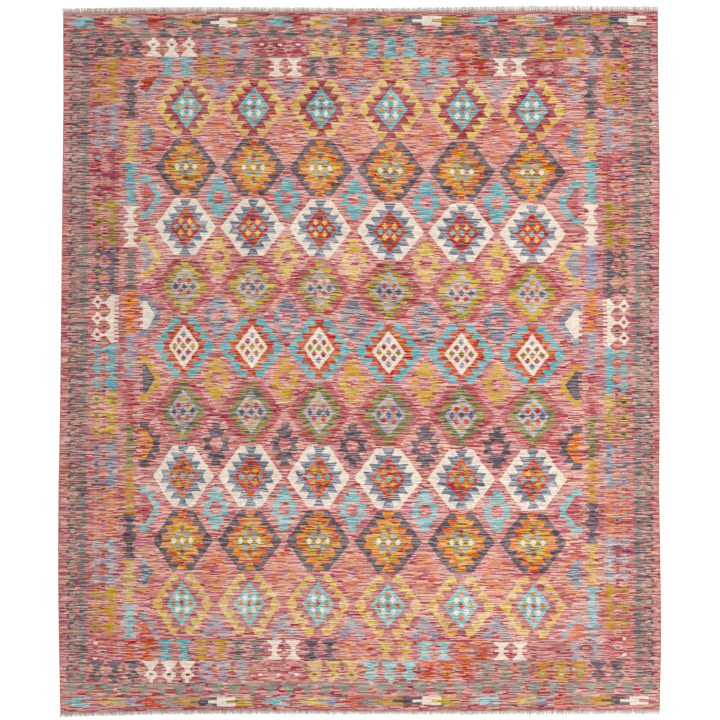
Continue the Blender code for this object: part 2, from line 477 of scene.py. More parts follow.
def paintDots(tree, yarn, row, offAcross, offAlong, inColumns):
    # nine small dots in each lozenge, on a lattice turned to a point
    halfPitch = fieldChart["dotHalfPitch"]
    slant = addNode(tree, "MULTIPLY", (offAcross, 0.5 / halfPitch[0]))
    rise = addNode(tree, "MULTIPLY", (offAlong, 0.5 / halfPitch[1]))
    numbers = []
    for operation in ("ADD", "SUBTRACT"):
        number = addNode(tree, operation, (slant, rise))
        numbers.append(addNode(tree, "ROUND", (number,)))
    stepAcross = addNode(tree, "ADD", numbers)
    stepAlong = addNode(tree, "SUBTRACT", numbers)
    near = []
    for step, pitch, off in zip((stepAcross, stepAlong), halfPitch, (offAcross, offAlong)):
        gap = addNode(tree, "MULTIPLY_ADD", (step, -pitch, off))
        near.append(addNode(tree, "ABSOLUTE", (gap,)))
    inLozenge = patch(tree, *((number, fieldChart["dotReach"]) for number in numbers))
    dot = combine(tree, "MULTIPLY", inOutline(tree, *near, fieldChart["dot"]), inColumns, inLozenge)
    atEnd, slanting, atSide, inMiddle = (
        yarnInOrder(tree, row, names) for names in list(zip(*diamondRows))[3:]
    )
    dotYarn = paint(tree, slanting, patch(tree, (stepAlong, 1.5, 2.5)), atEnd)
    dotYarn = paint(tree, dotYarn, patch(tree, (stepAcross, 1.5, 2.5)), atSide)
    dotYarn = paint(tree, dotYarn, patch(tree, (stepAcross, 0.5), (stepAlong, 0.5)), inMiddle)
    return paint(tree, yarn, dot, dotYarn)


# the borders along the sides: hourglasses, flowers on combs, and hooks,
# charted outwards from the field's edge, and along the rug from the top
sideChart = {
    "hourglassPitch": 92.0,
    "hourglassMiddle": 42.0,
    "hourglassEdge": 84.0,
    "blend": 110.0,  # mm, how far the field's ground reaches into the border
    "hourglass": (
        (0, 26), (5, 26), (5.5, 11), (12, 11), (18, 14), (26, 20), (32, 27), (36, 30), (42, 30), (42.5, 0)
    ),
    "flowerPitch": 67.0,
    "flowerMiddle": 180.0,
    "flower": ((0, 25), (4, 25), (4.5, 18), (10, 17), (11, 12), (18, 10), (19, 6), (27, 5), (27.5, 0)),
    "combInner": 91.0,
    "combRoot": 109.0,
    "combTooth": 16.75,
    "combToothHalf": 4.2,
    "combOuter": ((0, 146), (8, 146), (14, 138), (22, 131), (27, 126), (33.5, 122)),
    "neck": (130.0, 160.0),
    "neckHalf": 4.0,
    "beadMiddle": 152.0,
    "flowerEdge": 222.0,
}
flowerEye = (8.0, 5.5)  # half width, half height
# the yarns of the pairs, from the top, and what is different on the right
hourglassOrder = (
    (
        "charcoal", "borderYellow", "turquoise", "cream", "greyGreen", "orange", "lavender",
        "rose", "greenOlive", "deepGold", "charcoal", "borderYellow", "paleTurquoise", "redOrange",
    ),
    {4: "periwinkle", 13: "lavender"},
)
# the yarns of the trios
flowerOrder = (
    "deepGold", "lavender", "plum", "olive", "charcoal", "cream", "turquoise",
    "mustard", "slate", "coral", "paleGrey", "deepGold", "rose",
)
flowerDotOrder = (
    "plum", "coral", "turquoise", "crimson", "gold", "crimson", "coral",
    "charcoal", "crimson", "turquoise", "coral", "slate", "cream",
)


def sideYarn(tree):
    chart = sideChart
    outward, along, onRight, _ = wovenPlace(tree, "chart")

    # towards the field more and more strands are of its lighter ground
    weave = addNode(tree, "ShaderNodeUVMap", uv_map="weave")
    weftAcross, weftAlong, _ = addNode(tree, "ShaderNodeSeparateXYZ", (weave,)).node.outputs
    reach = strandNoise(tree, weftAcross, weftAlong)[1]
    reach = addNode(tree, "MULTIPLY", (reach, chart["blend"]))
    lighter = addNode(tree, "GREATER_THAN", (reach, outward))
    yarn = paint(tree, "borderGround", lighter, "ground")

    pair, off = cells(tree, along, chart["hourglassPitch"], chart["hourglassPitch"] / 2, 2)
    fromMiddle = distance(tree, outward, chart["hourglassMiddle"])
    over = twoOrders(tree, pair, hourglassOrder, onRight)
    yarn = paintOutline(tree, yarn, fromMiddle, off, chart["hourglass"], over)

    trio, off = cells(tree, along, chart["flowerPitch"], chart["flowerPitch"] / 2, 3)
    _, tooth = cells(tree, along, chart["combTooth"], chart["combTooth"] / 2)
    teeth = patch(tree, (outward, chart["combInner"], chart["flowerEdge"]), (tooth, chart["combToothHalf"]))
    comb = combine(tree, "MAXIMUM", patch(tree, (outward, chart["combRoot"], chart["flowerEdge"])), teeth)
    comb = combine(tree, "MULTIPLY", comb, inOutline(tree, outward, off, chart["combOuter"]))
    neck = patch(tree, (outward, *chart["neck"]), (off, chart["neckHalf"]))
    fromFlower = distance(tree, outward, chart["flowerMiddle"])
    shape = combine(tree, "MAXIMUM", comb, neck, inOutline(tree, fromFlower, off, chart["flower"]))
    inBand = patch(tree, (outward, chart["hourglassEdge"], chart["flowerEdge"]))
    yarn = paint(tree, yarn, combine(tree, "MULTIPLY", shape, inBand), yarnInOrder(tree, trio, flowerOrder))
    eye = patch(tree, (fromFlower, flowerEye[0]), (off, flowerEye[1]))
    yarn = paint(tree, yarn, eye, yarnInOrder(tree, trio, flowerDotOrder))

    number, off = cells(tree, along, chart["flowerPitch"])
    yarn = paintBead(tree, yarn, number, distance(tree, outward, chart["beadMiddle"]), off)
    return paintHooks(tree, yarn, outward, along)


# a bead between two flowers, in a pale ring with crimson tips
beadChart = {
    "ring": ((0, 20), (10, 8), (10.5, 0)),
    "tips": (10.0, 15.0),
    "tipHalf": 9.0,
    "half": (7.5, 4.5),
    "order": ("olive", "darkTeal", "gold", "greenOlive"),
}


def paintBead(tree, yarn, number, fromBead, off):
    chart = beadChart
    yarn = paintOutline(tree, yarn, fromBead, off, chart["ring"], "palePink")
    tips = patch(tree, (off, *chart["tips"]), (fromBead, chart["tipHalf"]))
    yarn = paint(tree, yarn, tips, "crimson")
    pick = addNode(tree, "FLOORED_MODULO", (number, len(chart["order"])))
    bead = patch(tree, (fromBead, chart["half"][0]), (off, chart["half"][1]))
    return paint(tree, yarn, bead, yarnInOrder(tree, pick, chart["order"]))


# the outermost border: a jagged column, and a chain of small hooked loops outside it
hookChart = {
    "ragged": 24.0,  # mm, how unevenly the column's wefts end
    "raggedHeight": 4.2,
    "raggedLength": 90.0,
    "bare": 0.16,  # share of the column's strands that are left in the ground's colour
    "bareLength": 40.0,
    "columnMiddle": 237.0,
    "columnPitch": 22.0,
    "column": ((0, 17), (4, 16), (7, 10), (11, 8)),
    "bar": (215, 258),
    "barPitch": 33.0,
    "barHalf": 2.2,
    "pitch": 44.0,
    # half widths of a loop and of its inside at each distance from its middle
    "loopMiddle": 276.0,
    "loop": ((0, 22), (6, 21), (13, 15), (18, 11), (20, 9), (20.5, 0)),
    "loopInside": ((0, 9), (4, 9), (8, 5), (8.5, 0)),
    # knots on a loop: how far below its middle, half the height, inner end, outer end, yarn
    "knots": (
        (0.0, 5.4, 286, 298, "darkTeal"),
        (12.0, 3.0, 268, 284, "stone"),
        (-13.0, 3.0, 272, 290, "darkTeal"),
        (0.0, 2.2, 270, 282, "crimson"),
    ),
}


def paintHooks(tree, yarn, outward, along):
    chart = hookChart
    height = chart["raggedHeight"]
    ragged = streakNoise(tree, outward, along, chart["raggedLength"], height, seeds["ragged"])
    ragged = swung(tree, ragged, chart["ragged"], outward)
    bare = strandNoise(tree, outward, along, seeds["bare"], chart["bareLength"], height)[0]
    worked = addNode(tree, "GREATER_THAN", (bare, chart["bare"]))
    _, off = cells(tree, along, chart["columnPitch"])
    fromMiddle = distance(tree, ragged, chart["columnMiddle"])
    yarn = paintOutline(tree, yarn, fromMiddle, off, chart["column"], "stone", worked)
    _, off = cells(tree, along, chart["barPitch"])
    yarn = paint(tree, yarn, patch(tree, (ragged, *chart["bar"]), (off, chart["barHalf"])), "darkTeal")
    _, off = cells(tree, along, chart["pitch"])
    fromLoop = distance(tree, outward, chart["loopMiddle"])
    yarn = paintOutline(tree, yarn, fromLoop, off, chart["loop"], "stone", worked)
    yarn = paintOutline(tree, yarn, fromLoop, off, chart["loopInside"], "palePink")
    for below, half, inner, outer, knotYarn in chart["knots"]:
        _, off = cells(tree, along, chart["pitch"], below)
        yarn = paint(tree, yarn, patch(tree, (outward, inner, outer), (off, half)), knotYarn)
    return yarn


# the borders across the ends: hourglasses, flowers, steps and dovetails,
# charted along the end, and outwards from the field's edge
endChart = {
    "pitch": 77.0,
    "firstHourglass": 1.8,  # pitches from the first flower
    "lastFlower": 28,
    "hourglassMiddle": 45.0,
    "hourglass": (
        (0, 29), (4.5, 29), (5, 10), (12, 10), (17, 13), (24, 20), (29, 27), (32, 31), (38, 31), (38.5, 0)
    ),
    # outwards from the hourglasses, half width there
    "flowerRow": 84.0,
    "flower": (
        (0, 0), (1.5, 0), (2, 35), (8, 33), (14, 27), (21, 21), (28, 14), (33, 10), (41, 10), (43, 19),
        (50, 21), (50.5, 28), (59.5, 28), (60, 20), (69, 18), (71, 9), (83, 8), (83.5, 0),
    ),
    "flowerEye": 137.0,
    "beadMiddle": 115.0,
    "stepPhase": 0.58,
    "stepRow": 174.0,
    "stepBand": (168.0, 214.0),
    "steps": ((0, 30), (9, 29), (9.5, 20), (19.5, 18), (20, 10), (31, 8), (35, 5), (35.5, 0)),
    "dovetailMiddle": 231.0,
    "dovetailHalf": 18.5,
    "dovetailPhase": 1.34,
    "lastDovetail": 30,
    # at the corners each band of an end, from this far outwards, reaches this far past the field's side
    "corners": ((0.0, 84.0), (84.0, 222.0), (170.0, math.inf)),
}
# each order along the bottom end, and what is different along the top end
endHourglassOrder = (
    (
        "redOrange", "turquoise", "deepGold", "greyGreen", "cream", "charcoal", "coral",
        "borderYellow", "paleTurquoise", "redOrange", "cream", "mauve", "lavender",
    ),
    {0: "coral", 8: "turquoise", 9: "scarlet", 11: "plum"},
)
endFlowerOrder = (
    (
        "charcoal", "cream", "lavender", "mauve", "borderYellow",
        "paleTurquoise", "redOrange", "paleStone", "deepGold", "charcoal",
    ),
    {3: "plum", 5: "turquoise", 6: "coral", 7: "greyGreen"},
)
endEyeOrder = (
    (
        "orange", "plum", "coral", "cream", "crimson",
        "gold", "charcoal", "crimson", "paleTurquoise", "redOrange",
    ),
    {5: "orange", 8: "turquoise"},
)
dovetailOrder = (
    (
        "paleTurquoise", "borderGround", "borderYellow", "lavender", "redOrange", "paleStone",
        "deepGold", "charcoal", "cream", "goldGreen", "borderGround",
    ),
    {0: "turquoise", 1: "plum", 4: "scarlet", 5: "greyGreen", 9: "olive"},
)


def endYarn(tree):
    chart = endChart
    pitch = chart["pitch"]
    lastFlower = chart["lastFlower"] + 0.5
    across, outward, _, onTop = wovenPlace(tree, "chart")

    pair, off = cells(tree, across, pitch, chart["firstHourglass"] * pitch, 2)
    fromMiddle = distance(tree, outward, chart["hourglassMiddle"])
    inRow = patch(tree, (pair, -0.5, len(endHourglassOrder[0]) - 0.5))
    over = twoOrders(tree, pair, endHourglassOrder, onTop)
    yarn = paintOutline(tree, "borderGround", off, fromMiddle, chart["hourglass"], over, inRow)

    number, off = cells(tree, across, pitch)
    trio = rowNumber(tree, number, 3.0)
    inRow = patch(tree, (number, -0.5, lastFlower))
    fromRow = addNode(tree, "SUBTRACT", (outward, chart["flowerRow"]))
    over = twoOrders(tree, trio, endFlowerOrder, onTop)
    yarn = paintOutline(tree, yarn, off, fromRow, chart["flower"], over, inRow)
    fromEye = distance(tree, outward, chart["flowerEye"])
    eye = patch(tree, (off, flowerEye[0]), (fromEye, flowerEye[1]), (number, -0.5, lastFlower))
    yarn = paint(tree, yarn, eye, twoOrders(tree, trio, endEyeOrder, onTop))

    number, off = cells(tree, across, pitch, pitch / 2)
    bead = paintBead(tree, yarn, number, off, distance(tree, outward, chart["beadMiddle"]))
    yarn = paint(tree, yarn, patch(tree, (number, -1.5, lastFlower)), bead)

    _, off = cells(tree, across, pitch, chart["stepPhase"] * pitch)
    fromRow = addNode(tree, "SUBTRACT", (outward, chart["stepRow"]))
    over = paint(tree, "paleStone", onTop, "greyGreen")
    inBand = patch(tree, (outward, *chart["stepBand"]))
    yarn = paintOutline(tree, yarn, off, fromRow, chart["steps"], over, inBand)

    # a dovetailed piece's tongue, the middle third, lies half its length before its body
    fromMiddle = distance(tree, outward, chart["dovetailMiddle"])
    tongue = patch(tree, (fromMiddle, chart["dovetailHalf"] / 3))
    phase = pitch * chart["dovetailPhase"]
    piece = addNode(tree, "ADD", (across, addNode(tree, "MULTIPLY_ADD", (tongue, pitch / 2, phase))))
    piece = rowNumber(tree, piece, pitch)
    pick = addNode(tree, "FLOORED_MODULO", (piece, len(dovetailOrder[0])))
    shape = patch(tree, (fromMiddle, chart["dovetailHalf"]), (piece, -0.5, chart["lastDovetail"] + 0.5))
    return paint(tree, yarn, shape, twoOrders(tree, pick, dovetailOrder, onTop))


dyedWool = makeDyedWool()


def makeWovenMaterial(name, yarnOf):
    # kilim cloth: dyed wool weft packed over hidden warps, so the colour changes only along the weft
    material, tree = emptyMaterial(name)
    wool = addNode(tree, "ShaderNodeGroup", {"Yarn": yarnOf(tree)}, node_tree=dyedWool).node
    addWoolSurface(tree, *wool.outputs)
    return material


wovenMaterials = {
    "field": makeWovenMaterial("kilimWoolField", fieldYarn),
    "sides": makeWovenMaterial("kilimWoolSideBorders", sideYarn),
    "ends": makeWovenMaterial("kilimWoolEndBorders", endYarn),
}
print("materials made")


# the cloth: a flat sheet whose warps and wefts run as unevenly as the real ones
clothSizes = {
    "thickness": 0.0035,
    "roundEdge": 0.0008,
    "gridStep": 22.0,  # mm of chart in one face
    "lift": 0.0010,  # how far the cloth stands off the floor at most
    "liftWaves": (310.0, 270.0),  # mm, across and along
    "rim": 0.8,  # mm, the outermost faces' width
    # mm from the middle, past which a corner of the outline lies on a long side or on an end
    "sideFrom": 1200.0,
    "endFrom": 1400.0,
}

# where the chart's lines lie on the real rug, whose warps and wefts wander, in mm from its middle
warpRows = 1040.0  # the chart's wefts at which the warp lines are given, above and below its middle
warpLines = (
    # chart, at the upper row, in the middle, at the lower row
    (-1229, -1219, -1225, -1232),
    (-1187, -1177, -1183, -1188),
    (-1146, -1133, -1139, -1145),
    (-1102, -1089, -1095, -1102),
    (-1076, -1063, -1068, -1073),
    (-1008, -997, -1002, -1006),
    (-966, -954, -958, -962),
    (-924, -914, -918, -922),
    (-725, -723, -736, -744),
    (-580, -584, -597, -605),
    (-435, -442, -450, -460),
    (-290, -299, -309, -320),
    (-145, -161, -170, -173),
    (0, -18, -29, -32),
    (145, 130, 122, 119),
    (290, 283, 274, 272),
    (435, 429, 426, 424),
    (580, 574, 574, 575),
    (725, 720, 722, 727),
    (924, 926, 929, 932),
    (966, 966, 970, 974),
    (1008, 1008, 1012, 1015),
    (1076, 1071, 1075, 1078),
    (1102, 1098, 1102, 1105),
    (1146, 1140, 1146, 1151),
    (1187, 1186, 1191, 1195),
    (1229, 1228, 1232, 1237),
)
weftLines = (
    # chart, at the left side, at the right side
    (-1420, -1440, -1433),
    (-1382, -1403, -1398),
    (-1340, -1346, -1343),
    (-1254, -1247, -1249),
    (-1170, -1155, -1166),
    (-1040, -1013, -1027),
    (-780, -751, -761),
    (-520, -482, -498),
    (-260, -211, -232),
    (0, 62, 22),
    (130, 191, 155),
    (260, 311, 278),
    (520, 560, 530),
    (780, 811, 788),
    (1040, 1060, 1045),
    (1170, 1184, 1184),
    (1254, 1269, 1266),
    (1340, 1355, 1360),
    (1382, 1395, 1404),
    (1420, 1434, 1443),
)
weftTilt = ((-725, 0.0), (-435, 0.1), (-145, 0.2), (145, 0.7), (435, 0.87), (725, 1.0))
chartEdge = (1254.0, 1442.0)  # across, along

# where the repeats of the borders start, in mm from the rug's middle, with the repeat's number
hourglassStarts = {
    -1: ((-1155, 13), (-1014, 12), (-451, 9), (118, 6), (654, 3), (1012, 1), (1181, 0)),
    1: ((-1112, 13), (-941, 12), (-411, 9), (124, 6), (662, 3), (1014, 1), (1183, 0)),
}
flowerStarts = {
    -1: ((-1142, 12), (-533, 9), (-324, 8), (687, 3), (887, 2), (1079, 1), (1262, 0)),
    1: ((-1125, 12), (-726, 10), (-533, 9), (-137, 7), (265, 5), (675, 3), (1069, 1), (1258, 0)),
}
endRepeats = {
    -1: ((-1100, 0), (-568, 7), (-35, 14), (530, 21), (1078, 28)),
    1: ((-1084, 0), (-563, 7), (-27, 14), (526, 21), (1069, 28)),
}


def cadEdges():
    # the outline of the CAD cloth, as one table for each long side and each end, in mm
    sizes = clothSizes
    low = sizes["roundEdge"] / 2
    ring = {
        (round(v.co.x * 1000, 2), round(v.co.y * 1000, 2))
        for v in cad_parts["woven_cloth"].data.vertices
        if low < v.co.z < sizes["thickness"] - low
    }
    sides = {s: sorted((y, x) for x, y in ring if x * s > sizes["sideFrom"]) for s in (-1, 1)}
    ends = {s: sorted((x, y) for x, y in ring if y * s > sizes["endFrom"]) for s in (-1, 1)}
    return sides, ends


sideEdges, endEdges = cadEdges()


def clamp(value, limit):
    return max(-limit, min(limit, value))


def signOf(value):
    return 1 if value > 0 else -1


def realPlace(across, along):
    # the real place, in mm, of a point of the chart: beyond the last lines it is drawn to the CAD edge
    lastWarp, lastWeft = warpLines[-1][0], weftLines[-1][0]
    tilt = clamp(max(0.0, between(weftTilt, across)), 1.0)
    left, right = (between(weftLines, clamp(along, lastWeft), column) for column in (1, 2))
    upper, middle, lower = (between(warpLines, clamp(across, lastWarp), column) for column in (1, 2, 3))
    outer = upper if along > 0 else lower
    pastWarp = (abs(across) - lastWarp) / (chartEdge[0] - lastWarp)
    pastWeft = (abs(along) - lastWeft) / (chartEdge[1] - lastWeft)
    y = left + tilt * (right - left)
    for _ in range(3):
        x = middle + (outer - middle) * abs(along) / warpRows
        if pastWarp > 0:
            x += pastWarp * (between(sideEdges[signOf(across)], y) - x)
        y = left + tilt * (right - left)
        if pastWeft > 0:
            y += pastWeft * (between(endEdges[signOf(along)], x) - y)
    return x, y


def zoneOf(across, along):
    # which border a point of the chart is in
    beside = abs(across) - fieldChart["halfWidth"]
    beyond = abs(along) - fieldChart["firstGap"]
    if beside < 0 and beyond < 0:
        return "field"
    atEnd = any(beyond > inner and beside < reach for inner, reach in endChart["corners"])
    return "ends" if atEnd else "sides"


def chartPlace(zone, across, along, x, y, middleAcross):
    # the point's place in its own border's chart, in mm
    if zone == "field":
        return across, along
    if zone == "ends":
        repeat = between(endRepeats[signOf(along)], x)
        return repeat * endChart["pitch"], abs(along) - fieldChart["firstGap"]
    outward = abs(across) - fieldChart["halfWidth"]
    if abs(middleAcross) - fieldChart["halfWidth"] < sideChart["hourglassEdge"]:
        return outward, between(hourglassStarts[signOf(across)], y) * 2 * sideChart["hourglassPitch"]
    return outward, between(flowerStarts[signOf(across)], y) * 3 * sideChart["flowerPitch"]


def chartSteps(lines, edge):
    # the chart's own lines, with more between them, and one just inside each edge
    rim = edge - clothSizes["rim"]
    marks = [-edge, -rim] + [row[0] for row in lines] + [rim, edge]
    steps = []
    for low, high in zip(marks, marks[1:]):
        count = max(1, math.ceil((high - low) / clothSizes["gridStep"]))
        steps += [low + (high - low) * i / count for i in range(count)]
    return steps + [edge]


def makeCloth():
    sizes = clothSizes
    columns = chartSteps(warpLines, chartEdge[0])
    rows = chartSteps(weftLines, chartEdge[1])
    lastColumn, lastRow = len(columns) - 1, len(rows) - 1
    shape = bmesh.new()
    chartLayer = shape.loops.layers.uv.new("chart")
    weaveLayer = shape.loops.layers.uv.new("weave")
    places, upper, under = {}, {}, {}
    for i, across in enumerate(columns):
        for j, along in enumerate(rows):
            x, y = realPlace(across, along)
            places[i, j] = (x, y)
            waves = Vector((x / sizes["liftWaves"][0], y / sizes["liftWaves"][1], seeds["lift"]))
            lift = sizes["lift"] * max(0.0, noise.noise(waves))
            rounding = sizes["roundEdge"] if i in (0, lastColumn) or j in (0, lastRow) else 0.0
            top = sizes["thickness"] - rounding + lift
            upper[i, j] = shape.verts.new((x / 1000, y / 1000, top))
            under[i, j] = shape.verts.new((x / 1000, y / 1000, rounding + lift))
    slots = list(wovenMaterials)  # in the order of the mesh's material slots

    def addFace(corners, keys, middle):
        face = shape.faces.new(corners)
        zone = zoneOf(*middle)
        face.material_index = slots.index(zone)
        face.smooth = True
        for loop, (i, j) in zip(face.loops, keys):
            across, along = columns[i], rows[j]
            loop[weaveLayer].uv = (across, along)
            loop[chartLayer].uv = chartPlace(zone, across, along, *places[i, j], middle[0])

    for i in range(lastColumn):
        for j in range(lastRow):
            middle = ((columns[i] + columns[i + 1]) / 2, (rows[j] + rows[j + 1]) / 2)
            keys = [(i, j), (i + 1, j), (i + 1, j + 1), (i, j + 1)]
            addFace([upper[key] for key in keys], keys, middle)
            keys.reverse()
            addFace([under[key] for key in keys], keys, middle)
    rim = [(i, 0) for i in range(lastColumn)] + [(lastColumn, j) for j in range(lastRow)]
    rim += [(i, lastRow) for i in range(lastColumn, 0, -1)] + [(0, j) for j in range(lastRow, 0, -1)]
    for first, second in zip(rim, rim[1:] + rim[:1]):
        corners = [under[first], under[second], upper[second], upper[first]]
        middle = ((columns[first[0]] + columns[second[0]]) / 2, (rows[first[1]] + rows[second[1]]) / 2)
        addFace(corners, [first, second, second, first], middle)
    mesh = bpy.data.meshes.new("kilimCloth")
    bmesh.ops.recalc_face_normals(shape, faces=shape.faces)
    shape.to_mesh(mesh)
    shape.free()
    for material in wovenMaterials.values():
        mesh.materials.append(material)
    return addObject("kilimCloth", mesh)


cloth = makeCloth()
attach(cloth, "root")
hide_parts("woven_cloth")
print("cloth made:", len(cloth.data.polygons), "faces")


# what repeats along the edges: built by Geometry Nodes from a row of points
def spacedAlong(edge, pitch, margin=0.0, stagger=0.0, line=0):
    # evenly spaced places along a long side or an end, and where its edge lies there, in metres
    low, high = edge[0][0] / 1000 + margin, edge[-1][0] / 1000 - margin
    count = round((high - low) / pitch)
    for index in range(count):
        place = low + (high - low) * (index + 0.5 + stagger * line) / (count + stagger)
        yield place, between(edge, place * 1000) / 1000


def makeTree(name, sizes):
    # a tree whose named inputs are the sizes, with the sockets that its nodes read
    tree = bpy.data.node_groups.new(name, "GeometryNodeTree")
    tree.interface.new_socket("Geometry", in_out="INPUT", socket_type="NodeSocketGeometry")
    for size in sizes:
        tree.interface.new_socket(size, in_out="INPUT", socket_type="NodeSocketFloat")
    tree.interface.new_socket("Material", in_out="INPUT", socket_type="NodeSocketMaterial")
    tree.interface.new_socket("Geometry", in_out="OUTPUT", socket_type="NodeSocketGeometry")
    group = addNode(tree, "NodeGroupInput").node
    return tree, {socket.name: socket for socket in group.outputs if socket.name}


def makePoints(name, rows):
    # one vertex for each yarn or stitch, with the values that its tree reads
    mesh = bpy.data.meshes.new(name)
    mesh.from_pydata([row["at"] for row in rows], [], [])
    for value in rows[0]:
        if value != "at":
            layer = mesh.attributes.new(value, "FLOAT", "POINT")
            layer.data.foreach_set("value", [row[value] for row in rows])
    return mesh


def runTree(tree, sizes, material, mesh):
    # the tree's result as a plain mesh
    points = addObject(mesh.name, mesh)
    modifier = points.modifiers.new("build", "NODES")
    modifier.node_group = tree
    for socket in tree.interface.items_tree:
        if socket.in_out == "INPUT" and socket.name in sizes:
            modifier[socket.identifier] = sizes[socket.name]
        elif socket.in_out == "INPUT" and socket.name == "Material":
            modifier[socket.identifier] = material
    seen = points.evaluated_get(bpy.context.evaluated_depsgraph_get())
    result = bpy.data.meshes.new_from_object(seen)
    points.modifiers.remove(modifier)
    points.data = result
    return points


def addTubes(tree, group, strands, radius, name, value, **stored):
    # gives the strands a five-sided section, keeps one value for their material, and ends the tree
    capture = addNode(tree, "GeometryNodeCaptureAttribute", (strands,)).node
    capture.capture_items.new("FLOAT" if stored["domain"] == "POINT" else "VECTOR", name)
    tree.links.new(value, capture.inputs[1])
    section = addNode(tree, "GeometryNodeCurvePrimitiveCircle", {"Resolution": 5, "Radius": 1.0})
    tube = {"Curve": capture.outputs[0], "Profile Curve": section, "Scale": radius, "Fill Caps": True}
    tubes = addNode(tree, "GeometryNodeCurveToMesh", tube)
    kept = {"Geometry": tubes, "Name": name, 3: capture.outputs[1]}
    tubes = addNode(tree, "GeometryNodeStoreNamedAttribute", kept, **stored)
    tubes = addNode(tree, "GeometryNodeRealizeInstances", (tubes,))
    tubes = addNode(tree, "GeometryNodeSetMaterial", {"Geometry": tubes, "Material": group["Material"]})
    addNode(tree, "NodeGroupOutput", (tubes,))


def addStrands(tree, group, steps):
    # one short curve for each point, ready to be bent, and how far along it each of its points is
    line = addNode(tree, "GeometryNodeCurvePrimitiveLine", {"Start": (0, 0, 0), "End": (0, 0.001, 0)})
    line = addNode(tree, "GeometryNodeResampleCurve", {"Curve": line, "Count": steps})
    still = addNode(tree, "GeometryNodeSetPosition", {"Geometry": line, "Position": (0.0, 0.0, 0.0)})
    points = addNode(tree, "GeometryNodeMeshToPoints", (group["Geometry"],))
    strands = addNode(tree, "GeometryNodeInstanceOnPoints", {"Points": points, "Instance": still})
    strands = addNode(tree, "GeometryNodeRealizeInstances", (strands,))
    index = addNode(tree, "GeometryNodeSplineParameter", output=2)
    return strands, addNode(tree, "DIVIDE", (index, steps - 1))


# fringe: the warp ends past the last weft, cut short and pressed flat
fringeSizes = {
    "pitch": 0.0026,  # one warp
    "radius": 0.00125,
    "tipShare": 0.6,  # a cut end frays to a thin tip
    "rootInside": 0.0015,  # a warp starts inside the woven end
    "rootHeight": 0.0018,
    "tipHeight": 0.0010,
    "sway": 0.0016,
    "swayTurn": 5.0,  # radians along one yarn
    "lean": 0.0016,
    "leanWaves": 60.0,  # in one metre
    "leanApart": 9.0,  # so that the two ends lean differently
    "partingLean": 0.0022,
    "partingReach": 0.009,
    "cornerSplay": 0.007,
    "cornerReach": 0.05,
    "uneven": 0.14,
    "seed": 20,
}

# mm: across, top fringe, bottom fringe
fringeLengths = (
    (-1250, 22, 17), (-700, 24, 21), (100, 19, 17), (750, 26, 21), (1250, 23, 20),
)
# mm across, where the fringe of each end parts
fringePartings = {1: (-1154, -947, -876, -837, -103), -1: (-1043, -207, -107, -36)}


def makeFringeTree():
    names = ("radius", "tipShare", "rootHeight", "tipHeight", "sway", "swayTurn")
    tree, group = makeTree("warpFringe", names)
    strands, along = addStrands(tree, group, 6)
    reach, lean, phase = (
        addNode(tree, "GeometryNodeInputNamedAttribute", (name,)) for name in ("reach", "lean", "phase")
    )
    out = addNode(tree, "MULTIPLY", (reach, along))
    bend = addNode(tree, "MULTIPLY_ADD", (along, group["swayTurn"], phase))
    bend = addNode(tree, "SINE", (bend,))
    bend = addNode(tree, "MULTIPLY", (bend, group["sway"]))
    bend = addNode(tree, "MULTIPLY", (bend, along))
    sideways = addNode(tree, "MULTIPLY_ADD", (lean, along, bend))
    height = addNode(tree, "ShaderNodeMapRange", {0: along, 3: group["rootHeight"], 4: group["tipHeight"]})
    offset = addNode(tree, "ShaderNodeCombineXYZ", (sideways, out, height))
    strands = addNode(tree, "GeometryNodeSetPosition", {"Geometry": strands, "Offset": offset})
    taper = addNode(tree, "ShaderNodeMapRange", {0: along, 3: 1.0, 4: group["tipShare"]})
    taper = addNode(tree, "MULTIPLY", (taper, group["radius"]))
    addTubes(tree, group, strands, taper, "yarnAlong", along, domain="POINT", data_type="FLOAT")
    return tree


def fringeRows(end):
    # where each warp leaves the woven end, how long it is, and which way it leans
    sizes = fringeSizes
    random.seed(sizes["seed"] + end)
    edge = endEdges[end]
    rows = []
    for x, y in spacedAlong(edge, sizes["pitch"]):
        reach = between(fringeLengths, x * 1000, 1 if end > 0 else 2) / 1000 + sizes["rootInside"]
        reach *= 1 + sizes["uneven"] * random.uniform(-1, 0.6)  # a cut leaves more short ends than long ones
        wave = noise.noise(Vector((x * sizes["leanWaves"], end * sizes["leanApart"], 0.0)))
        lean = sizes["lean"] * (2 * wave + random.uniform(-0.5, 0.5))
        for parting in fringePartings[end]:
            gap = x - parting / 1000
            push = math.exp(-abs(gap) / sizes["partingReach"])
            lean += math.copysign(sizes["partingLean"] * push, gap)
        nearest = min(x - edge[0][0] / 1000, edge[-1][0] / 1000 - x)
        lean += math.copysign(sizes["cornerSplay"] * max(0, 1 - nearest / sizes["cornerReach"]) ** 2, x)
        rows.append(
            {
                "at": (x, y - end * sizes["rootInside"], 0.0),
                "reach": end * reach,
                "lean": lean,
                "phase": random.uniform(0, 6.3),
                "yarnShade": random.random(),
            }
        )
    return rows


warpLook = {
    "strands": ("a08d82", "b5a498", "c6b8ac", "b9a89d", "d2c6bb", "a8968a", "c9bbb0", "ebe3da"),
    "root": "b57f78",  # wool of the last wefts hangs round it
    "rootShare": 0.75,
    "rootReach": 0.5,  # of the yarn's length
    "twist": 900.0,  # turns of the spinning in one metre
}


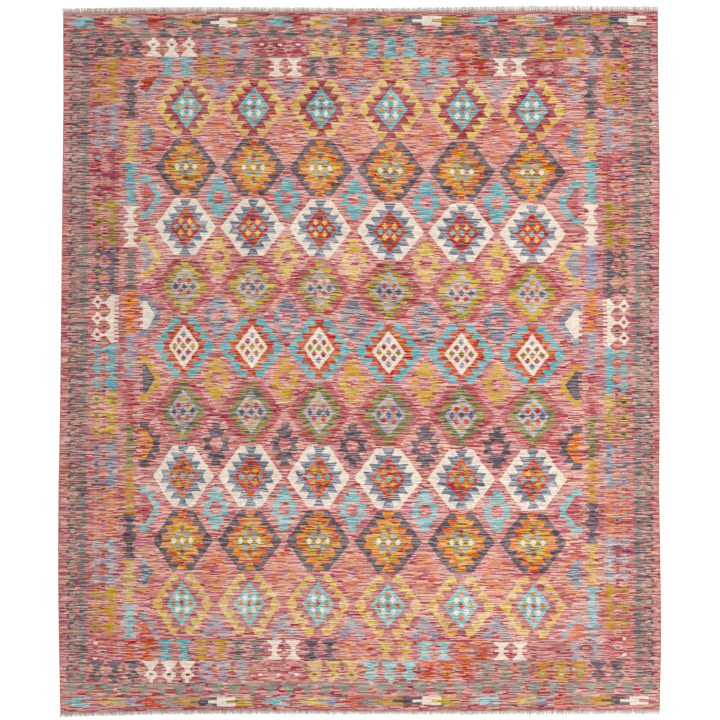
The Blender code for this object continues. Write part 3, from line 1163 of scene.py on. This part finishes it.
def makeWarpMaterial():
    # undyed warp: hand-spun wool and hair twisted together, pale brown, grey and white by the strand
    look = warpLook
    material, tree = emptyMaterial("warpYarnUndyed")
    shade = addNode(tree, "ShaderNodeAttribute", output=2, attribute_name="yarnShade")
    along = addNode(tree, "ShaderNodeAttribute", output=2, attribute_name="yarnAlong")
    strand = pickColour(tree, shade, [linear(code) for code in look["strands"]])
    root = addNode(tree, "ShaderNodeMapRange", {0: along, 2: look["rootReach"], 3: look["rootShare"], 4: 0.0})
    mixed = {0: root, 6: strand, 7: linear(look["root"])}
    colour = addNode(tree, "ShaderNodeMix", mixed, output=2, data_type="RGBA")
    place = addNode(tree, "ShaderNodeTexCoord", output=3)
    twist = addNode(tree, "ShaderNodeTexNoise", {"Vector": place, "Scale": look["twist"], "Detail": 1.0})
    addWoolSurface(tree, colour, twist)
    return material


# stitches: the overcast long sides, and the twined lines that lock the last wefts
stitchSizes = {
    "selvedge": {
        "width": 0.0032,
        "rise": 0.0012,
        "slant": 0.0022,
        "radius": 0.0009,
        "start": -math.pi / 2,
        "pitch": 0.0030,
        "inside": 0.0024,  # from the cloth's edge to the middle of a wrap
        "height": 0.0021,  # so that a wrap just touches the floor
    },
    "twining": {
        "width": 0.0036,
        "rise": 0.0009,
        "slant": 0.0016,
        "radius": 0.0011,
        "start": 0.0,
        "pitch": 0.0078,
        "inside": (0.0035, 0.0068),  # from the woven end to each line
        "margin": 0.005,
        "stagger": 0.3,  # of a pitch, from one line to the next
        "sunk": 0.0004,
    },
}


def makeStitchTree():
    tree, group = makeTree("woolStitch", ("width", "rise", "slant", "radius", "start"))
    strands, along = addStrands(tree, group, 7)
    names = ("side", "chartAcross", "chartAlong")
    side, *chart = (addNode(tree, "GeometryNodeInputNamedAttribute", (name,)) for name in names)
    angle = addNode(tree, "MULTIPLY_ADD", (along, math.pi, group["start"]))
    sideways = addNode(tree, "COSINE", (angle,))
    sideways = addNode(tree, "MULTIPLY", (sideways, group["width"]))
    sideways = addNode(tree, "MULTIPLY", (sideways, side))
    height = addNode(tree, "SINE", (angle,))
    height = addNode(tree, "MULTIPLY", (height, group["rise"]))
    slant = addNode(tree, "SUBTRACT", (along, 0.5))
    slant = addNode(tree, "MULTIPLY", (slant, group["slant"]))
    offset = addNode(tree, "ShaderNodeCombineXYZ", (sideways, slant, height))
    strands = addNode(tree, "GeometryNodeSetPosition", {"Geometry": strands, "Offset": offset})
    chart = addNode(tree, "ShaderNodeCombineXYZ", chart)
    addTubes(tree, group, strands, group["radius"], "weave", chart, domain="CORNER", data_type="FLOAT2")
    return tree


def stitchRow(place, side, chartAcross):
    return {"at": place, "side": side, "chartAcross": chartAcross, "chartAlong": place[1] * 1000}


def selvedgeRows(side):
    sizes = stitchSizes["selvedge"]
    rows = []
    for y, x in spacedAlong(sideEdges[side], sizes["pitch"]):
        place = (x - side * sizes["inside"], y, sizes["height"])
        rows.append(stitchRow(place, float(side), side * chartEdge[0]))
    return rows


def twiningRows(end):
    sizes = stitchSizes["twining"]
    height = clothSizes["thickness"] - sizes["sunk"]
    rows = []
    for line, inside in enumerate(sizes["inside"]):
        side = 1.0 if line else -1.0
        for x, y in spacedAlong(endEdges[end], sizes["pitch"], sizes["margin"], sizes["stagger"], line):
            rows.append(stitchRow((x, y - end * inside, height), side, x * 1000))
    return rows


def plainYarn(tree):
    return yarnCode("borderGround")


stitchTree = makeStitchTree()
edgingKinds = {
    # tree, sizes, material, slot
    "fringe": (makeFringeTree(), fringeSizes, makeWarpMaterial(), "warp_yarn"),
    "selvedge": (
        stitchTree,
        stitchSizes["selvedge"],
        makeWovenMaterial("overcastWool", plainYarn),
        "wool_cloth",
    ),
    "twining": (
        stitchTree,
        stitchSizes["twining"],
        makeWovenMaterial("twinedWool", plainYarn),
        "wool_cloth",
    ),
}


def addEdging(kind, where, rows, node=None):
    # builds a row of yarns or stitches, and hangs it on the rug
    tree, sizes, material, slot = edgingKinds[kind]
    piece = runTree(tree, sizes, material, makePoints(kind + where, rows))
    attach(piece, "root")
    if node:
        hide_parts(node)
    print(piece.name, "made:", len(piece.data.polygons), "faces")
    return piece


for end, where in ((1, "Top"), (-1, "Bottom")):
    addEdging("fringe", where, fringeRows(end), "fringe_" + where.lower())
    addEdging("twining", where, twiningRows(end))
for side, where in ((-1, "Left"), (1, "Right")):
    addEdging("selvedge", where, selvedgeRows(side))


# floor, light and camera
light = {
    "around": 0.585,
    "lamp": 0.8,
    "softness": 35.0,  # degrees across the lamp, seen from the rug
    "from": (-2.4, 2.8, 4.6),
    "strip": 50.0,  # watts
    "stripSize": (0.8, 5.0),
    "stripPlace": (1.0, -0.5, 3.0),
    "floorGlow": 0.2,
    "floorHalf": 12.0,
    "floorDrop": 0.0004,  # metres below the rug
}
view = {
    "scale": 0.00418,  # metres of rug in one pixel of the photo
    "pixels": 720,
    "middle": (0.0015, 0.0055),  # what the photo's middle shows
    "lens": 85.0,
    "sensor": 36.0,
    "furthest": 100.0,  # metres
}


def makeFloor():
    # white acrylic sheet over a light table, which glows a little
    material, tree = emptyMaterial("opalAcrylic")
    white = linear("ffffff")
    sheet = {"Base Color": white, "Roughness": 0.9, "Emission Color": white}
    sheet["Emission Strength"] = light["floorGlow"]
    addNode(tree, "ShaderNodeOutputMaterial", (addNode(tree, "ShaderNodeBsdfPrincipled", sheet),))
    mesh = bpy.data.meshes.new("floor")
    shape = bmesh.new()
    bmesh.ops.create_grid(shape, x_segments=4, y_segments=4, size=light["floorHalf"])
    shape.to_mesh(mesh)
    shape.free()
    mesh.materials.append(material)
    floor = addObject("floor", mesh)
    floor.location.z = -light["floorDrop"]


def addLamp(name, kind, place, **settings):
    data = bpy.data.lights.new(name, kind)
    for setting, value in settings.items():
        setattr(data, setting, value)
    lamp = addObject(name, data)
    lamp.location = place
    return lamp


def makeLight():
    # a bright studio: white all round, a wide soft lamp far to the upper left, and a long strip
    # lamp over the rug's right half, from which the light falls off to the left
    world = bpy.data.worlds.new("studio")
    world.use_nodes = True
    background = world.node_tree.nodes["Background"]
    background.inputs["Color"].default_value = linear("ffffff")
    background.inputs["Strength"].default_value = light["around"]
    bpy.context.scene.world = world
    angle = math.radians(light["softness"])
    softbox = addLamp("softbox", "SUN", light["from"], energy=light["lamp"], angle=angle)
    softbox.rotation_euler = Vector(light["from"]).to_track_quat("Z", "Y").to_euler()
    wide, deep = light["stripSize"]
    strip = {"energy": light["strip"], "shape": "RECTANGLE", "size": wide, "size_y": deep}
    addLamp("strip", "AREA", light["stripPlace"], **strip)


def makeCamera():
    data = bpy.data.cameras.new("camera")
    data.lens = view["lens"]
    data.sensor_width = view["sensor"]
    data.clip_end = view["furthest"]
    camera = addObject("camera", data)
    width = view["scale"] * view["pixels"]
    height = width * view["lens"] / view["sensor"] + clothSizes["thickness"]
    camera.location = (*view["middle"], height)
    bpy.context.scene.camera = camera


makeFloor()
makeLight()
makeCamera()
bpy.context.scene.view_settings.view_transform = "Standard"
print("floor, light and camera made")
